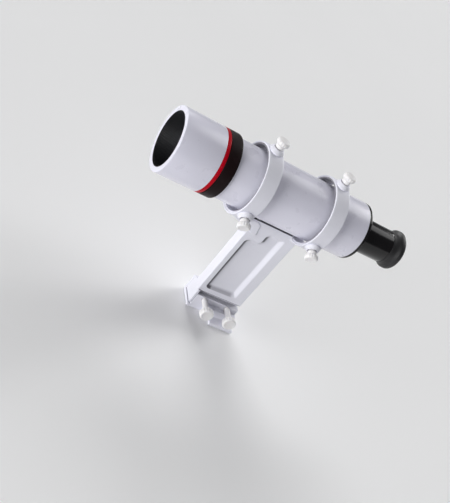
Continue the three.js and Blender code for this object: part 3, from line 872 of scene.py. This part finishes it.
def bracket_field(x, y, z):
    front = RINGS["front"]
    ring_rear = front + RING_HALF
    arm = polygon(y, z, [
        (front + 1, AXIS - RING_IN - 1),
        (front + 1, AXIS - RING_OUT),
        (ring_rear, ARM_FRONT),
        (-STALK_LONG, ARM_ROOT),
        (-STALK_LONG + ARM_LAP, ARM_ROOT),
        (-STALK_LONG + ARM_LAP, STALK_TOP),
        (ring_rear, STALK_TOP),
    ])
    stalk = rectangle(
        y, z - (STALK_BOTTOM + STALK_TOP) / 2, STALK_LONG, (STALK_TOP - STALK_BOTTOM) / 2, 1.0
    )
    profile = smaller(stalk, arm, ARM_FILLET)
    solid = larger(slab(profile, x, STALK_THICK, EDGE), pocket_field(x, y, z), RIM_FILLET)
    cheek = slab(polygon(y, z, CHEEK), x, STALK_THICK + CHEEK_PROUD, CHEEK_EDGE)
    solid = smaller(solid, cheek, CHEEK_FILLET)
    for centre in RINGS.values():
        solid = smaller(solid, ring_band(x, y, z, centre), RING_FILLET)
    # The foot: a tapered rail below the stalk and a plate across its front end.
    rail = slab(polygon(x, z, RAIL), y, STALK_LONG, 0.4)
    plate = rectangle(
        x - STOP_CENTRE, z - (FOOT_BOTTOM + STOP_TOP) / 2, STOP_HALF, (STOP_TOP - FOOT_BOTTOM) / 2, 0.6
    )
    stop = slab(plate, y + STALK_LONG - STOP_DEPTH / 2, STOP_DEPTH / 2, 0.5)
    solid = np.minimum(np.minimum(solid, rail), stop)
    for centre in RINGS.values():
        solid = drilled(solid, x, y, z, centre)
        inner = np.maximum(np.hypot(x, z - AXIS) - RING_SEAT, np.abs(y - centre) - RING_HALF - 0.01)
        solid = larger(solid, -inner, RIM_FILLET)
    return solid


bracket_low, bracket_high = span("bracket")
cast("bracket_casting", bracket_field, bracket_low, bracket_high, 0.6,
     WHITE_CAST, "bracket", ["bracket"])


def sleeve(centre):
    """The field of the sleeve in a ring's bore: set back a little, and holed for the screws."""
    wall = (RING_SEAT - RING_IN) / 2

    def field(x, y, z):
        radius = np.hypot(x, z - AXIS) - RING_IN - wall
        return drilled(rectangle(radius, y - centre, wall + 0.05, RING_HALF - 0.4, 0.4), x, y, z, centre)

    return field


for ring, y in RINGS.items():
    low, high = (-RING_SEAT, y - RING_HALF, AXIS - RING_SEAT), (RING_SEAT, y + RING_HALF, AXIS + RING_SEAT)
    cast(f"{ring}_ring_sleeve", sleeve(y), low, high, 0.6, WHITE_BORE, "bracket", [])

# The bosses that the ring screws run in, each with a bored seat for the screw's neck.
BOSS_ROOT, BOSS_GROOVE, SEAT_BORE, SEAT_DEPTH = 32.9, 0.9, 4.6, 1.6
BOSS = [
    (HOLE_R, BOSS_ROOT),
    (HOLE_R, BOSS_TOP - SEAT_DEPTH),
    (SEAT_BORE, BOSS_TOP - SEAT_DEPTH),
    (SEAT_BORE, BOSS_TOP, 0.15),
    (BOSS_CROWN, BOSS_TOP, 0.4),
    (BOSS_R, 36.2, 0.2),
    (BOSS_R - BOSS_GROOVE, 35.9, 0.05),
    (BOSS_R - BOSS_GROOVE, BOSS_ROOT),
]
for ring, y in RINGS.items():
    for side, degrees in SIDES.items():
        name = f"{ring}_ring_boss_{side}"
        mesh = lathe_mesh(name, rounded(BOSS, 3), 72)
        mesh.transform(towards((0, y, AXIS), direction_of(degrees)))
        add_piece(name, mesh, WHITE_CAST, "bracket")

# ---- Shoe ----

shoe_low, shoe_high = span("shoe")
SHOE_FAR, SHOE_NEAR, SHOE_FLOOR, SHOE_TOP = shoe_low[0], 9.0, 3.7, 20.0
HORN = SHOE_FAR + 3.0
CLAMP_HOLE = 2.75


def shoe_field(x, y, z):
    front, rear = shoe_low[1], shoe_high[1]
    stop_rear = front + STOP_DEPTH + 0.3
    channel = slab(polygon(x, z, [
        (SHOE_FAR, 0), (SHOE_NEAR, 0), (SHOE_NEAR, 17.6), (2.8, 17.6), (2.8, RAIL_TOP),
        (5.07, SHOE_FLOOR), (-9.77, SHOE_FLOOR), (-7.5, RAIL_TOP), (-7.5, SHOE_TOP), (SHOE_FAR, SHOE_TOP),
    ]), y - (rear + stop_rear) / 2, (rear - stop_rear) / 2, 0.5)
    plate = slab(polygon(x, z, [
        (SHOE_FAR, 0), (SHOE_NEAR, 0), (SHOE_NEAR, SHOE_FLOOR),
        (HORN, SHOE_FLOOR), (HORN, SHOE_TOP), (SHOE_FAR, SHOE_TOP),
    ]), y - (front + stop_rear + 2) / 2, (stop_rear + 2 - front) / 2, 0.45)
    solid = np.minimum(channel, plate)
    # The side step and the flange: how far out, from where, how high.
    for side, start, top in ((14.8, -8.2, 11.3), (26.0, -1.2, 3.2)):
        block = rectangle(y - (rear + start) / 2, z - top / 2, (rear - start) / 2, top / 2, 0.6)
        wide = slab(block, x - (SHOE_NEAR - 2 + side) / 2, (side - SHOE_NEAR + 2) / 2, 0.6)
        solid = smaller(solid, wide, 0.9)
    solid = np.maximum(np.maximum(solid, -z), y - rear)
    for centre in CLAMPS.values():
        hole = np.hypot(y - centre[1], z - centre[2]) - CLAMP_HOLE
        solid = np.maximum(solid, -np.maximum(hole, 1.0 - x))
    return solid


cast("shoe_casting", shoe_field, shoe_low, shoe_high, 0.5,
     WHITE_CAST, "shoe", ["shoe"])

# ---- CAD pieces that keep their shape ----

KEPT = {
    INNER_BLACK: ("objective_lens_spacer", "objective_retaining_ring", "front_baffle", "rear_baffle",
                  "reticle_spacer", "eyepiece_spacer"),
    BRASS: ("reticle_cell",),
    WIRE: ("reticle_wire_across", "reticle_wire_upright"),
}
for node, material in [(node, material) for material, nodes in KEPT.items() for node in nodes]:
    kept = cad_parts[node]
    kept.data.materials.clear()
    kept.data.materials.append(material)

# ---- Floor, light and camera ----


def floor():
    finish = Finish("pale_floor", Roughness=0.9, Specular_IOR_Level=0.1)
    cloud = finish.ramp(finish.noise(3.0, 3.0), 0.3, 0.7)
    finish.set("Base Color", finish.mix(cloud, rgb(0.965, 0.965, 0.965), rgb(0.95, 0.95, 0.95)))
    work = bmesh.new()
    bmesh.ops.create_grid(work, x_segments=8, y_segments=8, size=6.0)
    mesh = bpy.data.meshes.new("floor")
    work.to_mesh(mesh)
    work.free()
    mesh.materials.append(finish.material)
    made = bpy.data.objects.new("floor", mesh)
    made.location = (0, 0, -0.0004)
    scene.collection.objects.link(made)


floor()

world = bpy.data.worlds.new("studio")
scene.world = world
world.use_nodes = True
world.node_tree.nodes["Background"].inputs["Color"].default_value = rgb(0.95, 0.96, 1.0)
world.node_tree.nodes["Background"].inputs["Strength"].default_value = 0.13


def soft_light(name, azimuth, elevation, spread, strength):
    """A broad distant softbox. Azimuth 0 is on +X and turns towards +Y; spread is its width in degrees."""
    data = bpy.data.lights.new(name, "SUN")
    data.angle = math.radians(spread)
    data.energy = strength
    light = bpy.data.objects.new(name, data)
    a, e = math.radians(azimuth), math.radians(elevation)
    away = Vector((math.cos(e) * math.cos(a), math.cos(e) * math.sin(a), math.sin(e)))
    light.location = away * 2
    light.rotation_mode = "QUATERNION"
    light.rotation_quaternion = away.to_track_quat("Z", "Y")
    scene.collection.objects.link(light)


SOFTBOXES = [  # azimuth, elevation, spread, strength
    (120, 18, 26, 2.05), (115, 52, 34, 0.46), (180, 34, 26, 1.15),
    (280, 3, 26, 1.75), (300, 3, 22, 1.55), (330, 12, 26, 0.28),
]
for k, softbox in enumerate(SOFTBOXES):
    soft_light(f"softbox_{k + 1}", *softbox)

# The camera, as solved from the outlines in the photograph.

camera_data = bpy.data.cameras.new("camera")
camera_data.sensor_width = 36.0
camera_data.lens = 62.08
camera_data.shift_x, camera_data.shift_y = 0.0081, 0.0163
camera_data.clip_start, camera_data.clip_end = 0.01, 60.0
camera = bpy.data.objects.new("camera", camera_data)
forward = Vector((-0.74601, 0.44186, -0.49823)).normalized()
right = Vector((0.11229, 0.82091, 0.55990))
right = (right - forward * right.dot(forward)).normalized()
up = right.cross(forward)
camera.matrix_world = Matrix.Translation((0.61802, -0.38844, 0.47207)) @ Matrix(
    (right, up, -forward)
).transposed().to_4x4()
scene.collection.objects.link(camera)
scene.camera = camera
scene.view_settings.view_transform = "Standard"
